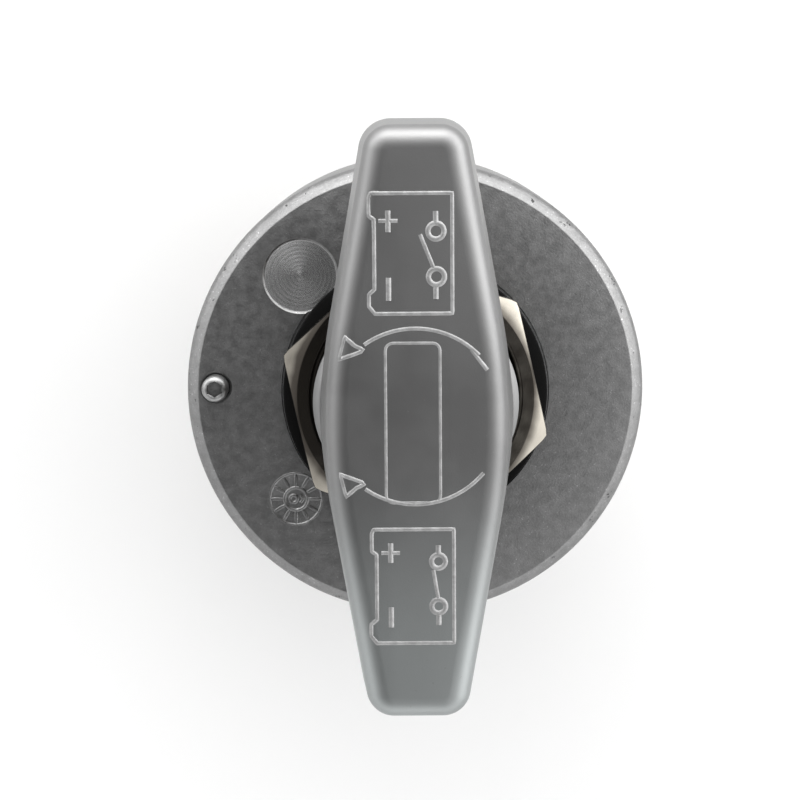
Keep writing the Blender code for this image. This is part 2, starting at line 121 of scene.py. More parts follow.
def setStops(ramp, stops):
    while len(ramp.elements) < len(stops):
        ramp.elements.new(0.5)
    for element, (place, colour) in zip(ramp.elements, stops):
        element.position = place
        element.color = colour


class SurfaceGraph(Graph):
    # helpers that only make sense in a material
    def __init__(self, tree):
        super().__init__(tree)
        self.coords = self.node("ShaderNodeTexCoord").other("Object")

    def noise(self, size, detail=2.0, roughness=0.5, where=None):
        # size is the width of one blotch in millimetres
        inputs = {"Vector": where or self.coords, "Scale": 1.0 / (size * mm)}
        inputs.update({"Detail": detail, "Roughness": roughness})
        return self.node("ShaderNodeTexNoise", {}, inputs)

    def mix(self, share, first, second):
        inputs = {"Factor": share, 6: first, 7: second}
        return self.node("ShaderNodeMix", {"data_type": "RGBA"}, inputs, output=2)

    def bump(self, height, depth, strength=1.0, onto=None):
        inputs = {"Height": height, "Distance": depth * mm, "Strength": strength}
        if onto is not None:
            inputs["Normal"] = onto
        return self.node("ShaderNodeBump", {}, inputs)

    def axes(self, where=None):
        split = self.node("ShaderNodeSeparateXYZ", {}, {"Vector": where or self.coords})
        return split, split.other("Y"), split.other("Z")


def grey(value, warm=0.0):
    # warm shifts a grey towards yellow (positive) or blue (negative)
    return (value * (1.0 + warm), value, value * (1.0 - warm), 1.0)


def newMaterial(name, wire):
    made = bpy.data.materials.new(name)
    made.use_nodes = True
    shader = made.node_tree.nodes["Principled BSDF"]
    graph = SurfaceGraph(made.node_tree)
    for socket, value in wire(graph).items():
        if isinstance(value, Wire):
            made.node_tree.links.new(value.socket, shader.inputs[socket])
        else:
            shader.inputs[socket].default_value = value
    return made


leverFinish = {
    "dark": 0.165, "light": 0.185, "farArmPaintedLight": grey(0.215), "nearArmPaintedReflection": (0.29, 0.305, 0.305, 1.0),
    "farStart": 5.0, "farEnd": 24.0, "nearStart": -2.0, "nearEnd": -34.0,
    "roughness": 0.44, "grainSize": 0.22, "grainDepth": 0.012,
}


def wireLever(g):
    f = leverFinish
    cloud = g.noise(9.0, 3.0)
    grain = g.noise(f["grainSize"], 3.0, 0.6)
    ripple = g.noise(2.4, 2.0)
    pits = g.noise(0.8, 1.0).spread(0.74, 0.80)
    x, y, z = g.axes()
    colour = g.mix(cloud.spread(0.35, 0.65), grey(f["dark"]), grey(f["light"]))
    # painted light: the far arm is made lighter than the middle, standing in for the room's reflection there
    colour = g.mix(y.spread(f["farStart"] * mm, f["farEnd"] * mm), colour, f["farArmPaintedLight"])
    # painted reflection: the near arm is made lighter and bluish, standing in for the bluish room reflection
    # there
    colour = g.mix(y.spread(f["nearStart"] * mm, f["nearEnd"] * mm), colour, f["nearArmPaintedReflection"])
    colour = g.mix(pits * 0.5, colour, grey(f["light"] * 1.25))
    skin = g.bump(grain, f["grainDepth"])
    skin = g.bump(ripple, 0.03, 0.5, skin)
    rough = (cloud - 0.5) * 0.08 + f["roughness"] + (grain - 0.5) * 0.10
    return {"Base Color": colour, "Metallic": 1.0, "Roughness": rough, "Normal": skin}


housingFinish = {
    "dark": 0.155, "light": 0.235, "roughness": 0.42, "grainSize": 0.34, "grainDepth": 0.05, "speck": 0.38,
    "nick": 0.03, "nickInner": 33.2, "nickOuter": 33.8, "nickLowest": -3.6, "nickFull": -2.0,
}


def wireHousing(g):
    f = housingFinish
    cloud = g.noise(12.0, 4.0, 0.6)
    sand = g.noise(f["grainSize"], 4.0, 0.65)
    blotch = g.noise(1.6, 3.0, 0.6)
    sparkle = g.noise(0.30, 1.0).spread(0.66, 0.74) * blotch.spread(0.42, 0.62)
    tone = cloud.spread(0.3, 0.7) * 0.2 + blotch.spread(0.3, 0.7) * 0.5 + sand.spread(0.3, 0.7) * 0.3
    colour = g.mix(tone, grey(f["dark"]), grey(f["light"]))
    colour = g.mix(sparkle, colour, grey(f["speck"]))
    x, y, z = g.axes()
    rim = ((x ** 2.0 + y ** 2.0) ** 0.5).spread(f["nickInner"] * mm, f["nickOuter"] * mm)
    rim = rim * z.spread(f["nickLowest"] * mm, f["nickFull"] * mm)
    nicks = g.noise(1.9, 3.0, 0.75).spread(0.64, 0.68) * rim
    colour = g.mix(nicks * 0.9, colour, grey(f["nick"]))
    skin = g.bump(sand, f["grainDepth"])
    skin = g.bump(blotch, 0.05, 0.5, skin)
    rough = (blotch - 0.5) * 0.2 + f["roughness"] - sparkle * 0.2
    return {"Base Color": colour, "Metallic": 1.0, "Roughness": rough, "Normal": skin}


spotFace = {"centre": (-17.3, 17.6), "radius": 5.6, "depth": 0.75}
turnedFinish = {"dark": 0.53, "light": 0.61, "roughness": 0.27, "fineRing": 0.16, "coarseRing": 0.62}


def wireTurnedMark(g):
    # freshly cut metal: fine rings about the spot face's own centre
    f = turnedFinish
    x, y, z = g.axes()
    across = (x - spotFace["centre"][0] * mm) ** 2.0
    along = (y - spotFace["centre"][1] * mm) ** 2.0
    radius = (across + along) ** 0.5
    wobble = g.noise(2.0, 2.0) * 0.25
    rings = (radius * (2.0 * math.pi / (f["fineRing"] * mm)) + wobble * 6.0).sine()
    coarse = (radius * (2.0 * math.pi / (f["coarseRing"] * mm))).sine()
    skin = g.bump(rings, 0.0035, 0.8)
    skin = g.bump(coarse, 0.0065, 0.7, skin)
    colour = g.mix(g.noise(1.2, 3.0), grey(f["dark"]), grey(f["light"]))
    return {"Base Color": colour, "Metallic": 1.0, "Roughness": f["roughness"], "Normal": skin}


nickelFinish = {"colour": (0.56, 0.52, 0.46, 1.0), "roughness": 0.12}


def wireNickel(g):
    smear = g.noise(3.0, 3.0, 0.6)
    scratch = g.noise(0.5, 2.0)
    rough = smear.spread(0.3, 0.8) * 0.12 + nickelFinish["roughness"]
    skin = g.bump(scratch, 0.008, 0.5)
    skin = g.bump(smear, 0.05, 0.5, skin)
    return {"Base Color": nickelFinish["colour"], "Metallic": 1.0, "Roughness": rough, "Normal": skin}


nutFinish = {
    "bright": (0.38, 0.355, 0.31, 1.0), "paintedDarkReflection": (0.075, 0.067, 0.058, 1.0), "roughness": 0.13,
    "paintedDarkWithin": 17.8, "brightBeyond": 19.4,
}


def wireNut(g):
    # bright plating with painted dark reflections on the flat, on the chamfer's inner edge and on one side
    f = nutFinish
    x, y, z = g.axes()
    radius = (x ** 2.0 + y ** 2.0) ** 0.5
    streak = g.noise(2.6, 1.0)
    inner = radius.spread(f["paintedDarkWithin"] * mm, f["brightBeyond"] * mm, 1.0, 0.05)
    side = (x * -0.9 + y * 0.4).spread(3.0 * mm, 17.0 * mm)
    share = (inner * 0.85 + side * 0.45 + (streak - 0.5) * 0.7).least(1.0).most(0.0)
    colour = g.mix(share, f["bright"], f["paintedDarkReflection"])
    skin = g.bump(g.noise(0.5, 2.0), 0.008, 0.5)
    return {"Base Color": colour, "Metallic": 1.0, "Roughness": share * 0.1 + f["roughness"], "Normal": skin}


rubberFinish = {"colour": 0.003, "dust": 0.012, "roughness": 0.85, "shine": 0.08}


def wireRubber(g):
    f = rubberFinish
    dust = g.noise(1.4, 4.0, 0.7)
    colour = g.mix(dust.spread(0.6, 0.85), grey(f["colour"]), grey(f["dust"]))
    skin = g.bump(g.noise(0.35, 3.0), 0.02)
    return {"Base Color": colour, "Roughness": f["roughness"], "Normal": skin, "Specular IOR Level": f["shine"]}


phenolicFinish = {
    "colour": (0.012, 0.010, 0.009, 1.0), "flow": (0.032, 0.026, 0.022, 1.0),
    "fleck": (0.07, 0.055, 0.045, 1.0), "roughness": 0.42, "shine": 0.25,
}


def wirePhenolic(g):
    f = phenolicFinish
    flow = g.noise(5.0, 4.0, 0.6)
    fleck = g.noise(0.4, 2.0).spread(0.64, 0.72)
    colour = g.mix(flow, f["colour"], f["flow"])
    colour = g.mix(fleck * 0.5, colour, f["fleck"])
    skin = g.bump(g.noise(0.5, 3.0), 0.015)
    rough = flow * 0.16 + f["roughness"]
    return {"Base Color": colour, "Roughness": rough, "Normal": skin, "Specular IOR Level": f["shine"]}


# stain: size, detail and roughness; edges: where it sets in; grain: size and depth
metalFinishes = {
    # the raised marks' colours carry a painted highlight, brighter than the lever round them
    "raisedMark": {"stain": (1.1, 3.0, 0.6), "edges": (0.35, 0.65), "clean": grey(0.36), "stained": grey(0.46),
                   "roughness": 0.47, "rougher": 0.1, "grain": (0.25, 0.02)},
    "pegPlating": {"stain": (0.9, 3.0, 0.6), "edges": (0.35, 0.65), "clean": grey(0.22), "stained": grey(0.33),
                   "roughness": 0.36, "rougher": 0.1, "grain": (0.3, 0.015)},
    "brightSteel": {"stain": (2.0, 3.0, 0.6), "clean": grey(0.42, 0.02), "stained": grey(0.55, 0.02),
                    "roughness": 0.2, "rougher": 0.2, "grain": (0.3, 0.01)},
    "darkSteel": {"stain": (2.5, 3.0, 0.6), "clean": grey(0.14, 0.02), "stained": grey(0.24, 0.02),
                  "roughness": 0.3, "rougher": 0.2, "grain": (0.4, 0.012)},
    "dullCopper": {"stain": (3.0, 4.0, 0.65), "edges": (0.3, 0.75), "clean": (0.80, 0.46, 0.30, 1.0),
                   "stained": (0.46, 0.25, 0.16, 1.0), "roughness": 0.2, "rougher": 0.25, "grain": (0.4, 0.01)},
    "contactSilver": {"stain": (1.6, 3.0, 0.6), "edges": (0.35, 0.8), "clean": grey(0.85, 0.01),
                      "stained": grey(0.60, 0.05), "roughness": 0.22, "rougher": 0.2},
    "plainBrass": {"stain": (2.5, 3.0, 0.6), "edges": (0.3, 0.8), "clean": (0.80, 0.62, 0.30, 1.0),
                   "stained": (0.55, 0.40, 0.19, 1.0), "roughness": 0.25, "rougher": 0.2},
}


def stainedMetal(name):
    # a plain metal with a soft stain over it and, on most, a fine grain
    f = metalFinishes[name]

    def wire(g):
        stain = g.noise(*f["stain"])
        share = stain.spread(*f["edges"]) if "edges" in f else stain
        sockets = {"Base Color": g.mix(share, f["clean"], f["stained"]), "Metallic": 1.0}
        sockets["Roughness"] = stain * f["rougher"] + f["roughness"]
        if "grain" in f:
            size, depth = f["grain"]
            sockets["Normal"] = g.bump(g.noise(size, 2.0), depth)
        return sockets

    return newMaterial(name, wire)


leverMetal = newMaterial("leverMetal", wireLever)
housingMetal = newMaterial("housingMetal", wireHousing)
turnedMetal = newMaterial("turnedMetal", wireTurnedMark)
nickel = newMaterial("nickel", wireNickel)
nutPlating = newMaterial("nutPlating", wireNut)
blackRubber = newMaterial("blackRubber", wireRubber)
blackPhenolic = newMaterial("blackPhenolic", wirePhenolic)
raisedMark = stainedMetal("raisedMark")  # the crests of raised lines, made brighter than the skin round them as a painted highlight
pegPlating = stainedMetal("pegPlating")
brightSteel = stainedMetal("brightSteel")
darkSteel = stainedMetal("darkSteel")
dullCopper = stainedMetal("dullCopper")
contactSilver = stainedMetal("contactSilver")
plainBrass = stainedMetal("plainBrass")
say("finishes made")


def addObject(name, data):
    made = bpy.data.objects.new(name, data)
    bpy.context.scene.collection.objects.link(made)
    return made


def shade(piece, material, sharpAngle=32.0):
    # one finish all over, smooth except at edges sharper than the angle
    mesh = piece.data
    mesh.materials.clear()
    mesh.materials.append(material)
    mesh.polygons.foreach_set("material_index", [0] * len(mesh.polygons))
    mesh.shade_smooth()
    mesh.set_sharp_from_angle(angle=math.radians(sharpAngle))


def newPiece(name, mesh, material, sharpAngle=32.0):
    made = addObject(name, mesh)
    shade(made, material, sharpAngle)
    return made


def meshFromRings(name, rings, closed=False):
    # rings are equal-length arrays of points in metres; closed joins the last ring to the first
    count = len(rings[0])
    points = np.concatenate(rings)
    faces = []
    pairs = list(zip(range(len(rings) - 1), range(1, len(rings))))
    if closed:
        pairs.append((len(rings) - 1, 0))
    for first, second in pairs:
        for step in range(count):
            following = (step + 1) % count
            faces.append((first * count + step, first * count + following,
                          second * count + following, second * count + step))
    if not closed:
        faces.append(tuple(reversed(range(count))))
        faces.append(tuple(range((len(rings) - 1) * count, len(rings) * count)))
    mesh = bpy.data.meshes.new(name)
    mesh.from_pydata(points.tolist(), [], faces)
    tidyMesh(mesh)
    return mesh


def tidyMesh(mesh):
    builder = bmesh.new()
    builder.from_mesh(mesh)
    bmesh.ops.remove_doubles(builder, verts=builder.verts, dist=0.002 * mm)
    bmesh.ops.recalc_face_normals(builder, faces=builder.faces)
    builder.to_mesh(mesh)
    builder.free()


def circleRing(radius, height, segments, centre=(0.0, 0.0)):
    angles = np.arange(segments) * 2.0 * math.pi / segments
    radii = np.broadcast_to(radius, (segments,))
    heights = np.broadcast_to(height, (segments,))
    x = centre[0] + radii * np.cos(angles)
    y = centre[1] + radii * np.sin(angles)
    return np.stack([x, y, heights], axis=1) * mm


def turnedMesh(name, profile, segments, closed=True, centre=(0.0, 0.0)):
    rings = [circleRing(radius, height, segments, centre) for radius, height in profile]
    return meshFromRings(name, rings, closed)


def washerProfile(inner, outer, top, bottom, edge):
    # a flat ring with all four edges softened, listed once round
    soft = edge * 0.3
    return [
        (inner, bottom + edge), (inner, top - edge), (inner + soft, top - soft), (inner + edge, top),
        (outer - edge, top), (outer - soft, top - soft), (outer, top - edge),
        (outer, bottom + edge), (outer - soft, bottom + soft), (outer - edge, bottom),
        (inner + edge, bottom), (inner + soft, bottom + soft),
    ]


def arcProfile(centreR, centreZ, radius, startDeg, endDeg, steps):
    points = []
    for step in range(steps + 1):
        angle = math.radians(startDeg + (endDeg - startDeg) * step / steps)
        points.append((centreR + radius * math.cos(angle), centreZ + radius * math.sin(angle)))
    return points


def applyCuts(piece, cuts):
    # cuts is a list of (mesh, operation); the result replaces the piece's mesh
    helpers = []
    for number, (mesh, operation) in enumerate(cuts):
        helper = addObject(f"{piece.name}Cut{number}", mesh)
        change = piece.modifiers.new(helper.name, "BOOLEAN")
        change.operation = operation
        change.solver = "EXACT"
        change.object = helper
        helpers.append(helper)
    bake(piece)
    for helper in helpers:
        bpy.data.objects.remove(helper)


def bake(piece):
    # turn the evaluated shape into a plain mesh and drop the modifiers
    graph = bpy.context.evaluated_depsgraph_get()
    mesh = bpy.data.meshes.new_from_object(piece.evaluated_get(graph))
    piece.modifiers.clear()
    piece.data = mesh
    mesh.name = piece.name


def boxMesh(name, low, high, edge=0.0, steps=3):
    builder = bmesh.new()
    size = [(b - a) * mm for a, b in zip(low, high)]
    centre = [(a + b) / 2.0 * mm for a, b in zip(low, high)]
    bmesh.ops.create_cube(builder, size=1.0, matrix=Matrix.Translation(centre) @ Matrix.Diagonal((*size, 1.0)))
    if edge:
        bmesh.ops.bevel(builder, geom=builder.edges[:], offset=edge * mm, segments=steps, profile=0.5,
                        affect="EDGES")
    mesh = bpy.data.meshes.new(name)
    builder.to_mesh(mesh)
    builder.free()
    return mesh


def newTree(name, sockets):
    # sockets is a list of (name, kind); returns the graph and its inputs by name
    tree = bpy.data.node_groups.new(name, "GeometryNodeTree")
    tree.interface.new_socket("Geometry", in_out="OUTPUT", socket_type="NodeSocketGeometry")
    tree.interface.new_socket("Geometry", in_out="INPUT", socket_type="NodeSocketGeometry")
    for label, kind in sockets:
        tree.interface.new_socket(label, in_out="INPUT", socket_type="NodeSocket" + kind)
    graph = Graph(tree)
    given = graph.node("NodeGroupInput")
    return graph, {label: given.other(label) for label in ["Geometry"] + [s[0] for s in sockets]}


def endTree(graph, geometry, material):
    real = graph.node("GeometryNodeRealizeInstances", {}, {"Geometry": geometry})
    painted = graph.node("GeometryNodeSetMaterial", {}, {"Geometry": real, "Material": material})
    graph.node("NodeGroupOutput", {}, {"Geometry": painted})
    return graph.tree


def grow(name, tree, values, start=None, sharpAngle=40.0):
    # run a tree on a start mesh and keep the result as a plain mesh
    piece = addObject(name, start or bpy.data.meshes.new(name))
    modifier = piece.modifiers.new(name, "NODES")
    modifier.node_group = tree
    for item in tree.interface.items_tree:
        if item.in_out == "INPUT" and item.name in values:
            modifier[item.identifier] = values[item.name]
    piece.update_tag()
    bake(piece)
    tidyMesh(piece.data)
    shade(piece, values["Material"], sharpAngle)
    return piece


def makeThreadTree():
    # a triangular ridge wound round Z, fading out over its first and last half turn
    sockets = [("Crest", "Float"), ("Pitch", "Float"), ("Turns", "Float"), ("Bottom", "Float"),
               ("Steps", "Int"), ("Offset", "Float"), ("Material", "Material")]
    g, given = newTree("threadRidge", sockets)
    size = given["Pitch"] * 0.56
    line = g.node("GeometryNodeCurvePrimitiveLine")
    line = g.node("GeometryNodeResampleCurve", {}, {"Curve": line, "Count": given["Steps"]})
    share = g.node("GeometryNodeSplineParameter")
    angle = share * given["Turns"] * (2.0 * math.pi)
    fade = (share * given["Turns"] * 2.0).least((1.0 - share) * given["Turns"] * 2.0).least(1.0)
    radius = given["Crest"] - size
    place = g.point(angle.cosine() * radius + given["Offset"], angle.sine() * radius,
                    share * given["Turns"] * given["Pitch"] + given["Bottom"])
    path = g.node("GeometryNodeSetPosition", {}, {"Geometry": line, "Position": place})
    path = g.node("GeometryNodeSetCurveNormal", {"mode": "Z_UP"}, {"Curve": path})
    path = g.node("GeometryNodeSetCurveRadius", {}, {"Curve": path, "Radius": fade * 0.7 + 0.3})
    profile = g.node("GeometryNodeCurvePrimitiveCircle", {}, {"Resolution": 3, "Radius": size})
    ridge = g.node("GeometryNodeCurveToMesh", {}, {"Curve": path, "Profile Curve": profile, "Fill Caps": True})
    return endTree(g, ridge, given["Material"])


def makeReliefTree():
    # low rounded lines along drawn paths, a little uneven in width like worn casting marks
    sockets = [("Width", "Float"), ("Height", "Float"), ("Unevenness", "Float"), ("Material", "Material")]
    g, given = newTree("reliefLines", sockets)
    path = g.node("GeometryNodeMeshToCurve", {}, {"Mesh": given["Geometry"]})
    path = g.node("GeometryNodeSetCurveNormal", {"mode": "Z_UP"}, {"Curve": path})
    wander = g.node("ShaderNodeTexNoise", {}, {"Scale": 1.0 / (1.6 * mm), "Detail": 2.0})
    radius = (wander - 0.5) * given["Unevenness"] + 1.0
    path = g.node("GeometryNodeSetCurveRadius", {}, {"Curve": path, "Radius": radius})
    profile = g.node("GeometryNodeCurvePrimitiveCircle", {}, {"Resolution": 20, "Radius": 1.0})
    x = g.node("ShaderNodeSeparateXYZ", {}, {"Vector": g.node("GeometryNodeInputPosition")})
    bell = g.point(x * given["Width"] * 0.5, x.other("Y") ** 3.0 * given["Height"], 0.0)
    profile = g.node("GeometryNodeSetPosition", {}, {"Geometry": profile, "Position": bell})
    lines = g.node("GeometryNodeCurveToMesh", {}, {"Curve": path, "Profile Curve": profile, "Fill Caps": True})
    return endTree(g, lines, given["Material"])


def makeCopyTree():
    # one piece repeated at each point of the start mesh
    g, given = newTree("copiesAtPoints", [("Piece", "Object"), ("Material", "Material")])
    piece = g.node("GeometryNodeObjectInfo", {}, {"Object": given["Piece"]}).other("Geometry")
    copies = g.node("GeometryNodeInstanceOnPoints", {}, {"Points": given["Geometry"], "Instance": piece})
    return endTree(g, copies, given["Material"])


def makeSpokeTree():
    # bars set round a circle, each pointing at the centre
    sockets = [("Count", "Int"), ("Inner", "Float"), ("Outer", "Float"), ("Width", "Float"),
               ("Height", "Float"), ("Centre", "Vector"), ("Material", "Material")]
    g, given = newTree("stampSpokes", sockets)
    middle = (given["Inner"] + given["Outer"]) * 0.5
    rim = g.node("GeometryNodeCurvePrimitiveCircle", {}, {"Resolution": given["Count"], "Radius": middle})
    length = (given["Outer"] - given["Inner"]) * 0.5
    bar = g.node("GeometryNodeMeshUVSphere", {}, {"Segments": 12, "Rings": 8, "Radius": 1.0})
    size = g.point(length, given["Width"] * 0.5, given["Height"])
    bar = g.node("GeometryNodeTransform", {}, {"Geometry": bar, "Scale": size})
    turn = g.node("GeometryNodeInputIndex") * (2.0 * math.pi) / given["Count"]
    copies = g.node("GeometryNodeInstanceOnPoints", {},
                    {"Points": rim, "Instance": bar, "Rotation": g.point(0.0, 0.0, turn)})
    moved = g.node("GeometryNodeTransform", {}, {"Geometry": copies, "Translation": given["Centre"]})
    return endTree(g, moved, given["Material"])


def pathMesh(name, paths):
    # edges only: each path is (points in mm, closed)
    points, edges = [], []
    for path, closed in paths:
        first = len(points)
        points += [(x * mm, y * mm, z * mm) for x, y, z in path]
        edges += [(first + i, first + i + 1) for i in range(len(path) - 1)]
        if closed:
            edges.append((len(points) - 1, first))
    mesh = bpy.data.meshes.new(name)
    mesh.from_pydata(points, edges, [])
    return mesh


def pointMesh(name, places):
    mesh = bpy.data.meshes.new(name)
    mesh.from_pydata([(x * mm, y * mm, 0.0) for x, y in places], [], [])
    return mesh


def placeCopies(name, mesh, places, material, sharpAngle=32.0):
    source = newPiece(name + "Source", mesh, material)
    values = {"Piece": source, "Material": material}
    piece = grow(name, copyTree, values, pointMesh(name, places), sharpAngle)
    bpy.data.objects.remove(source)
    return piece


threadTree = makeThreadTree()
reliefTree = makeReliefTree()
copyTree = makeCopyTree()
spokeTree = makeSpokeTree()
say("node trees made")


lever = {
    "top": 40.0, "bottom": 26.0, "halfLength": 41.1, "halfWidth": 12.9, "taper": 0.1765,
    "waistRadius": 82.0, "corner": 4.2, "rounding": 3.2, "draft": 0.35, "lowerEdge": 0.8, "fillet": 2.4,
    "hubRadius": 15.1, "hubWaist": 13.9, "hubNeck": 12.7, "hubBottom": 11.6, "hubShoulder": 13.9,
    "flareTop": 15.3, "socketRadius": 7.3, "socketTop": 34.3, "pinHeight": 19.0,
}


def leverQuarter():
    # points of one quarter of the outline with the direction the wall faces at each
    d = lever
    lean = math.atan(d["taper"])
    reach = d["waistRadius"] * math.sin(lean)
    base = d["halfWidth"] - d["waistRadius"]
    quarter = []
    for step in range(18):
        along = reach * step / 18.0
        quarter.append((base + math.sqrt(d["waistRadius"] ** 2 - along ** 2), along,
                        math.asin(along / d["waistRadius"])))
    edge = base + math.sqrt(d["waistRadius"] ** 2 - reach ** 2)
    endY = d["halfLength"] - d["corner"]
    for step in range(14):
        along = reach + (endY - reach) * step / 14.0
        quarter.append((edge - d["taper"] * (along - reach), along, lean))
    centreX = edge - d["taper"] * (endY - reach) - d["corner"] / math.cos(lean)
    for step in range(13):
        turn = lean + (math.pi / 2.0 - lean) * step / 12.0
        quarter.append((centreX + d["corner"] * math.cos(turn), endY + d["corner"] * math.sin(turn), turn))
    for step in range(1, 5):
        quarter.append((centreX * (1.0 - step / 4.0), d["halfLength"], math.pi / 2.0))
    return quarter


def leverOutline(outwards):
    right = [(x + outwards * math.cos(t), y + outwards * math.sin(t)) for x, y, t in leverQuarter()]
    points = right + [(-x, y) for x, y in reversed(right[:-1])]
    points += [(-x, -y) for x, y in right[1:]] + [(x, -y) for x, y in reversed(right[1:-1])]
    return np.array(points)


def clamp(share):
    return min(max(share, 0.0), 1.0)


def hubRadiusAt(height):
    # a slow swell below the arms, then a quick flare out to the rim
    d = lever
    start = d["bottom"] + 3.0
    share = clamp((start - height) / (start - d["flareTop"]))
    share = share * share * (3.0 - 2.0 * share)
    flare = clamp((d["flareTop"] - height) / (d["flareTop"] - d["hubShoulder"])) ** 2
    return d["hubNeck"] + (d["hubWaist"] - d["hubNeck"]) * share + (d["hubRadius"] - d["hubWaist"]) * flare


def leverRing(outwards, height, blend=1.2):
    # arm outline at one height, melted into the hub where the hub is wider
    flat = leverOutline(outwards)
    reach = np.hypot(flat[:, 0], flat[:, 1])
    hub = hubRadiusAt(height)
    wider = 0.5 * (reach + hub + np.sqrt((reach - hub) ** 2 + blend ** 2))
    fade = clamp((lever["bottom"] + 7.0 - height) / 4.0)
    melted = reach + (np.maximum(wider, reach) - reach) * fade
    flat = flat * (melted / reach)[:, None]
    return np.column_stack([flat, np.full(len(flat), height)]) * mm


def makeLeverMesh():
    d = lever
    rings = []
    for step in range(13):
        angle = math.pi / 2.0 * (1.0 - step / 12.0)
        height = d["top"] - d["rounding"] * (1.0 - math.sin(angle))
        rings.append(leverRing(-d["draft"] - d["rounding"] * (1.0 - math.cos(angle)), height))
    wallTop, wallBottom = d["top"] - d["rounding"], d["bottom"] + d["lowerEdge"]
    for step in range(1, 13):
        share = step / 12.0
        height = wallTop + (wallBottom - wallTop) * share
        rings.append(leverRing(d["draft"] * (2.0 * share - 1.0), height))
    for step in range(1, 5):
        angle = math.pi / 2.0 * step / 4.0
        outwards = d["draft"] - d["lowerEdge"] * (1.0 - math.cos(angle))
        rings.append(leverRing(outwards, wallBottom - d["lowerEdge"] * math.sin(angle)))
    lowest = rings[-1] / mm
    reach = np.hypot(lowest[:, 0], lowest[:, 1])
    heading = lowest[:, :2] / reach[:, None]
    fillet = np.clip(reach - hubRadiusAt(d["bottom"]), 0.0, d["fillet"])
    for step in range(7):
        angle = math.pi / 2.0 * step / 6.0
        height = d["bottom"] - d["fillet"] * (1.0 - math.cos(angle))
        radius = hubRadiusAt(height) + fillet * (1.0 - math.sin(angle))
        rings.append(np.column_stack([heading * radius[:, None], np.full(len(heading), height)]) * mm)
    heights = list(np.linspace(d["bottom"] - d["fillet"] - 0.3, d["flareTop"], 6))
    heights += list(np.linspace(d["flareTop"], d["hubShoulder"], 8))[1:] + [d["hubBottom"] + 0.5]
    profile = [(hubRadiusAt(height), height) for height in heights]
    profile += arcProfile(d["hubRadius"] - 0.5, d["hubBottom"] + 0.5, 0.5, 0.0, -90.0, 4)
    profile += [(8.4, d["hubBottom"]), (8.1, d["hubBottom"] + 0.3), (8.1, 13.0), (d["socketRadius"], 13.0),
                (d["socketRadius"], d["socketTop"])]
    for radius, height in profile:
        rings.append(np.column_stack([heading * radius, np.full(len(heading), height)]) * mm)
    return meshFromRings("leverBody", rings)


leverBody = newPiece("leverBody", makeLeverMesh(), leverMetal)
acrossHub = Matrix.Translation((0.0, 0.0, lever["pinHeight"] * mm)) @ Matrix.Rotation(math.pi / 2.0, 4, "X")
pinBore = turnedMesh("pinBore", [(2.1, 40.0), (2.1, -40.0)], 40, closed=False)
pinBore.transform(acrossHub)
applyCuts(leverBody, [(pinBore, "DIFFERENCE")])
shade(leverBody, leverMetal, 38.0)
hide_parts("lever_handle")
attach(leverBody, "lever")
say("lever made")

# raised symbols on the lever's top
symbols = {
    "height": 0.12, "lineWidth": 0.66, "panelWidth": 0.55, "signWidth": 0.85, "unevenness": 0.5, "sunk": 0.02,
    "dialRadius": 12.0, "dialCentre": (-0.25, 1.44),
}


def topHeight(x, y):
    # height of the lever's upper skin, flat in the middle and falling away over its rounded edge
    d = lever
    reach = d["waistRadius"] * math.sin(math.atan(d["taper"]))
    along = min(abs(y), reach)
    width = d["halfWidth"] - d["waistRadius"] + math.sqrt(d["waistRadius"] ** 2 - along ** 2)
    width -= d["taper"] * (abs(y) - along) + d["draft"] + d["rounding"]
    over = min(max(abs(x) - width, 0.0), d["rounding"])
    return d["top"] - symbols["sunk"] - d["rounding"] + math.sqrt(d["rounding"] ** 2 - over ** 2)


def straight(points, closed=False, spacing=0.3):
    # even points along a run of corners
    corners = list(points) + ([points[0]] if closed else [])
    line = []
    for (x1, y1), (x2, y2) in zip(corners, corners[1:]):
        count = max(1, round(math.hypot(x2 - x1, y2 - y1) / spacing))
        line += [(x1 + (x2 - x1) * i / count, y1 + (y2 - y1) * i / count) for i in range(count)]
    if not closed:
        line.append(corners[-1])
    return [(px, py, topHeight(px, py)) for px, py in line], closed


def arcLine(x, y, radius, startDeg, endDeg, closed=False):
    count = max(8, round(abs(endDeg - startDeg) * radius / 14.0))
    angles = [math.radians(startDeg + (endDeg - startDeg) * i / count) for i in range(count + (not closed))]
    line = [(x + radius * math.cos(a), y + radius * math.sin(a)) for a in angles]
    return [(px, py, topHeight(px, py)) for px, py in line], closed


def batterySymbol(left, right, top, bottom):
    # outline with two terminal bumps on its left side
    return straight([(left, top), (right, top), (right, bottom), (left + 0.45, bottom),
                     (left - 0.35, bottom + 1.0), (left - 0.35, bottom + 2.6), (left + 0.4, bottom + 3.3),
                     (left + 0.4, top - 3.5), (left - 0.25, top - 3.0), (left - 0.25, top - 0.6)], closed=True)


def thinPaths():
    paths = [batterySymbol(-6.07, 4.8, 31.6, 15.45), batterySymbol(-6.05, 4.88, -14.0, -29.8)]
    paths.append(straight([(0.49, 26.1), (2.35, 21.45)]))
    paths.append(straight([(2.08, -19.65), (2.72, -23.6)]))
    paths.append(straight([(-5.1, 27.92), (-2.5, 27.92)]))
    paths.append(straight([(-5.0, -17.25), (-2.45, -17.25)]))
    x, y, r = *symbols["dialCentre"], symbols["dialRadius"]
    paths.append(arcLine(x, y, r, 44.0, 125.0))
    paths.append(arcLine(x, y, r, -40.0, -125.0))
    for side in (1.0, -1.0):
        arrow = [(-7.0, 9.2), (-8.1, 9.7), (-9.4, 10.9), (-10.2, 7.8), (-7.3, 8.9)]
        paths.append(straight([(x + ax, y + side * ay) for ax, ay in arrow], closed=True))
    paths.append(straight([(x + 7.6, y + 9.1), (x + 9.7, y + 6.3)]))
    return paths


